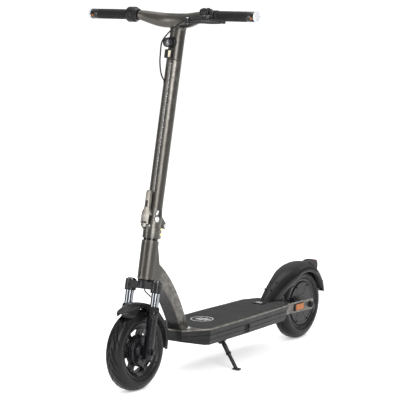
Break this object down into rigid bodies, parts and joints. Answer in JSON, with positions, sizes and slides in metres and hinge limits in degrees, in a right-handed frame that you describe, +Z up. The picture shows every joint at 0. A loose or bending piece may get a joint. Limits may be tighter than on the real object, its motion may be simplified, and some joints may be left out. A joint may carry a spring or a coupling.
{
  "type": "electric kick scooter",
  "caption": "Folding electric kick scooter with a suspension fork, front drum brake, rear hub motor, kickstand, lamps and a long rubber-covered deck.",
  "frame": {"origin": "on the ground, midway across the bar and midway between the front of the front tyre and the rear edge of the plate holder", "axes": "+X to the rider's left, +Y to the rear, +Z up"},
  "size_m": [0.65, 1.2416, 1.192],
  "materials": {
    "frame_paint": "warm grey satin paint",
    "black_paint": "satin black paint",
    "black_plastic": "moulded black, fine grain",
    "gloss_black": "glossy black",
    "grip_rubber": "soft black rubber",
    "mat_rubber": "ribbed black rubber",
    "tyre": "black tyre rubber",
    "steel": "ground steel",
    "chrome": "hard chrome",
    "aluminium": "bare cast aluminium",
    "bolt_gold": "yellow zinc",
    "clear_lens": "clear ribbed lens",
    "red_lens": "red lens",
    "orange_reflector": "orange prismatic reflector",
    "white_reflector": "white prismatic reflector",
    "battery_wrap": "shrink wrap"
  },
  "bodies": {
    "frame": {"frame_neck": "frame_paint", "neck_panel": "black_paint", "deck_plate": "frame_paint", "deck_case": "black_plastic", "deck_mat": "mat_rubber", "battery_pack": "battery_wrap", "motor_controller": "aluminium", "rear_arms": "frame_paint", "rear_fender": "black_plastic", "fender_screws": "black_paint", "tail_lamp_housing": "black_plastic", "tail_lamp_lens": "red_lens", "plate_holder": "black_plastic", "side_reflectors": "orange_reflector", "stator_axle": "steel", "rear_axle_nuts": "black_paint", "headset_bearings": "steel", "kickstand_bracket": "black_paint", "catch_plate": "gloss_black", "charge_port": "black_plastic"},
    "charge_cap": {"charge_cap": "grip_rubber"},
    "kickstand": {"kickstand_leg": "black_paint"},
    "rear_wheel": {"hub_motor_shell": "black_paint", "hub_cover": "black_paint", "rear_tyre": "tyre"},
    "steering": {"steerer_tube": "steel", "fork_crown": "black_paint", "stanchions": "chrome", "fold_base": "frame_paint", "hinge_pin": "steel", "pinch_bolts": "bolt_gold"},
    "fork_lowers": {"fork_legs": "black_paint", "wiper_seals": "grip_rubber", "front_fender": "black_plastic", "brake_plate": "black_paint", "front_axle": "black_paint", "fork_springs": "steel", "cable_lower": "grip_rubber"},
    "brake_arm": {"brake_arm": "black_paint"},
    "front_wheel": {"front_rim": "black_paint", "front_tyre": "tyre", "wheel_bearings": "steel"},
    "stem": {"stem_tube": "frame_paint", "handlebar": "frame_paint", "display_panel": "gloss_black", "grips": "grip_rubber", "bar_end_lamps": "black_plastic", "bar_end_lenses": "clear_lens", "headlight_body": "black_plastic", "headlight_lens": "clear_lens", "front_reflector": "white_reflector", "brake_perch": "black_paint", "control_pod": "black_plastic", "cable_upper": "grip_rubber"},
    "fold_lever": {"fold_lever": "frame_paint"},
    "fold_catch": {"fold_catch": "black_plastic"},
    "brake_lever": {"brake_lever": "black_paint"},
    "throttle": {"throttle": "black_plastic"},
    "indicator_switch": {"indicator_switch": "gloss_black"},
    "horn_button": {"horn_button": "gloss_black"}
  },
  "joints": [
    {"name": "steer", "type": "hinge", "parent": "frame", "child": "steering", "pos_m": [0, -0.43951, 0.34502], "axis": [0, 0.2181, 0.9759], "range_deg": [-40, 40]},
    {"name": "suspension", "type": "slide", "parent": "steering", "child": "fork_lowers", "axis": [0, 0.2181, 0.9759], "range_m": [0, 0.03], "stiffness_N_per_m": 12000, "springref_m": -0.02, "deforming": ["fork_springs", "cable_lower"]},
    {"name": "front_wheel_spin", "type": "hinge", "parent": "fork_lowers", "child": "front_wheel", "pos_m": [0, -0.49325, 0.1275], "axis": [1, 0, 0], "continuous": true},
    {"name": "brake_arm_pivot", "type": "hinge", "parent": "fork_lowers", "child": "brake_arm", "pos_m": [0, -0.52125, 0.1035], "axis": [1, 0, 0], "range_deg": [0, 25]},
    {"name": "stem_fold", "type": "hinge", "parent": "steering", "child": "stem", "pos_m": [0, -0.36446, 0.50653], "axis": [-1, 0, 0], "range_deg": [0, 100]},
    {"name": "fold_lever_pivot", "type": "hinge", "parent": "steering", "child": "fold_lever", "pos_m": [0, -0.43897, 0.51704], "axis": [1, 0, 0], "range_deg": [0, 100]},
    {"name": "fold_catch_slide", "type": "slide", "parent": "fold_lever", "child": "fold_catch", "axis": [0, -0.2181, -0.9759], "range_m": [0, 0.006], "stiffness_N_per_m": 400, "springref_m": -0.004},
    {"name": "brake_lever_pivot", "type": "hinge", "parent": "stem", "child": "brake_lever", "pos_m": [0.092, -0.34414, 1.152], "axis": [0, 0, 1], "range_deg": [0, 10], "stiffness_Nm_per_rad": 4, "springref_deg": -5.73},
    {"name": "throttle_turn", "type": "hinge", "parent": "stem", "child": "throttle", "pos_m": [0, -0.30014, 1.167], "axis": [-1, 0, 0], "range_deg": [0, 35], "stiffness_Nm_per_rad": 0.4, "springref_deg": -11.46},
    {"name": "indicator_slide", "type": "slide", "parent": "stem", "child": "indicator_switch", "axis": [1, 0, 0], "range_m": [-0.0035, 0.0035]},
    {"name": "horn_press", "type": "slide", "parent": "stem", "child": "horn_button", "axis": [0, 0, -1], "range_m": [0, 0.002], "stiffness_N_per_m": 600, "springref_m": -0.001},
    {"name": "kickstand_fold", "type": "hinge", "parent": "frame", "child": "kickstand", "pos_m": [0.05, -0.08625, 0.092], "axis": [0.8192, 0, 0.5736], "range_deg": [0, 88]},
    {"name": "charge_cap_hinge", "type": "hinge", "parent": "frame", "child": "charge_cap", "pos_m": [0.0929, -0.00425, 0.131], "axis": [0, -1, 0], "range_deg": [0, 110]},
    {"name": "rear_wheel_spin", "type": "hinge", "parent": "frame", "child": "rear_wheel", "pos_m": [0, 0.45675, 0.1275], "axis": [1, 0, 0], "continuous": true}
  ],
  "couplings": [
    {"joint": "brake_arm_pivot", "follows": "brake_lever_pivot", "ratio": 2.5}
  ]
}
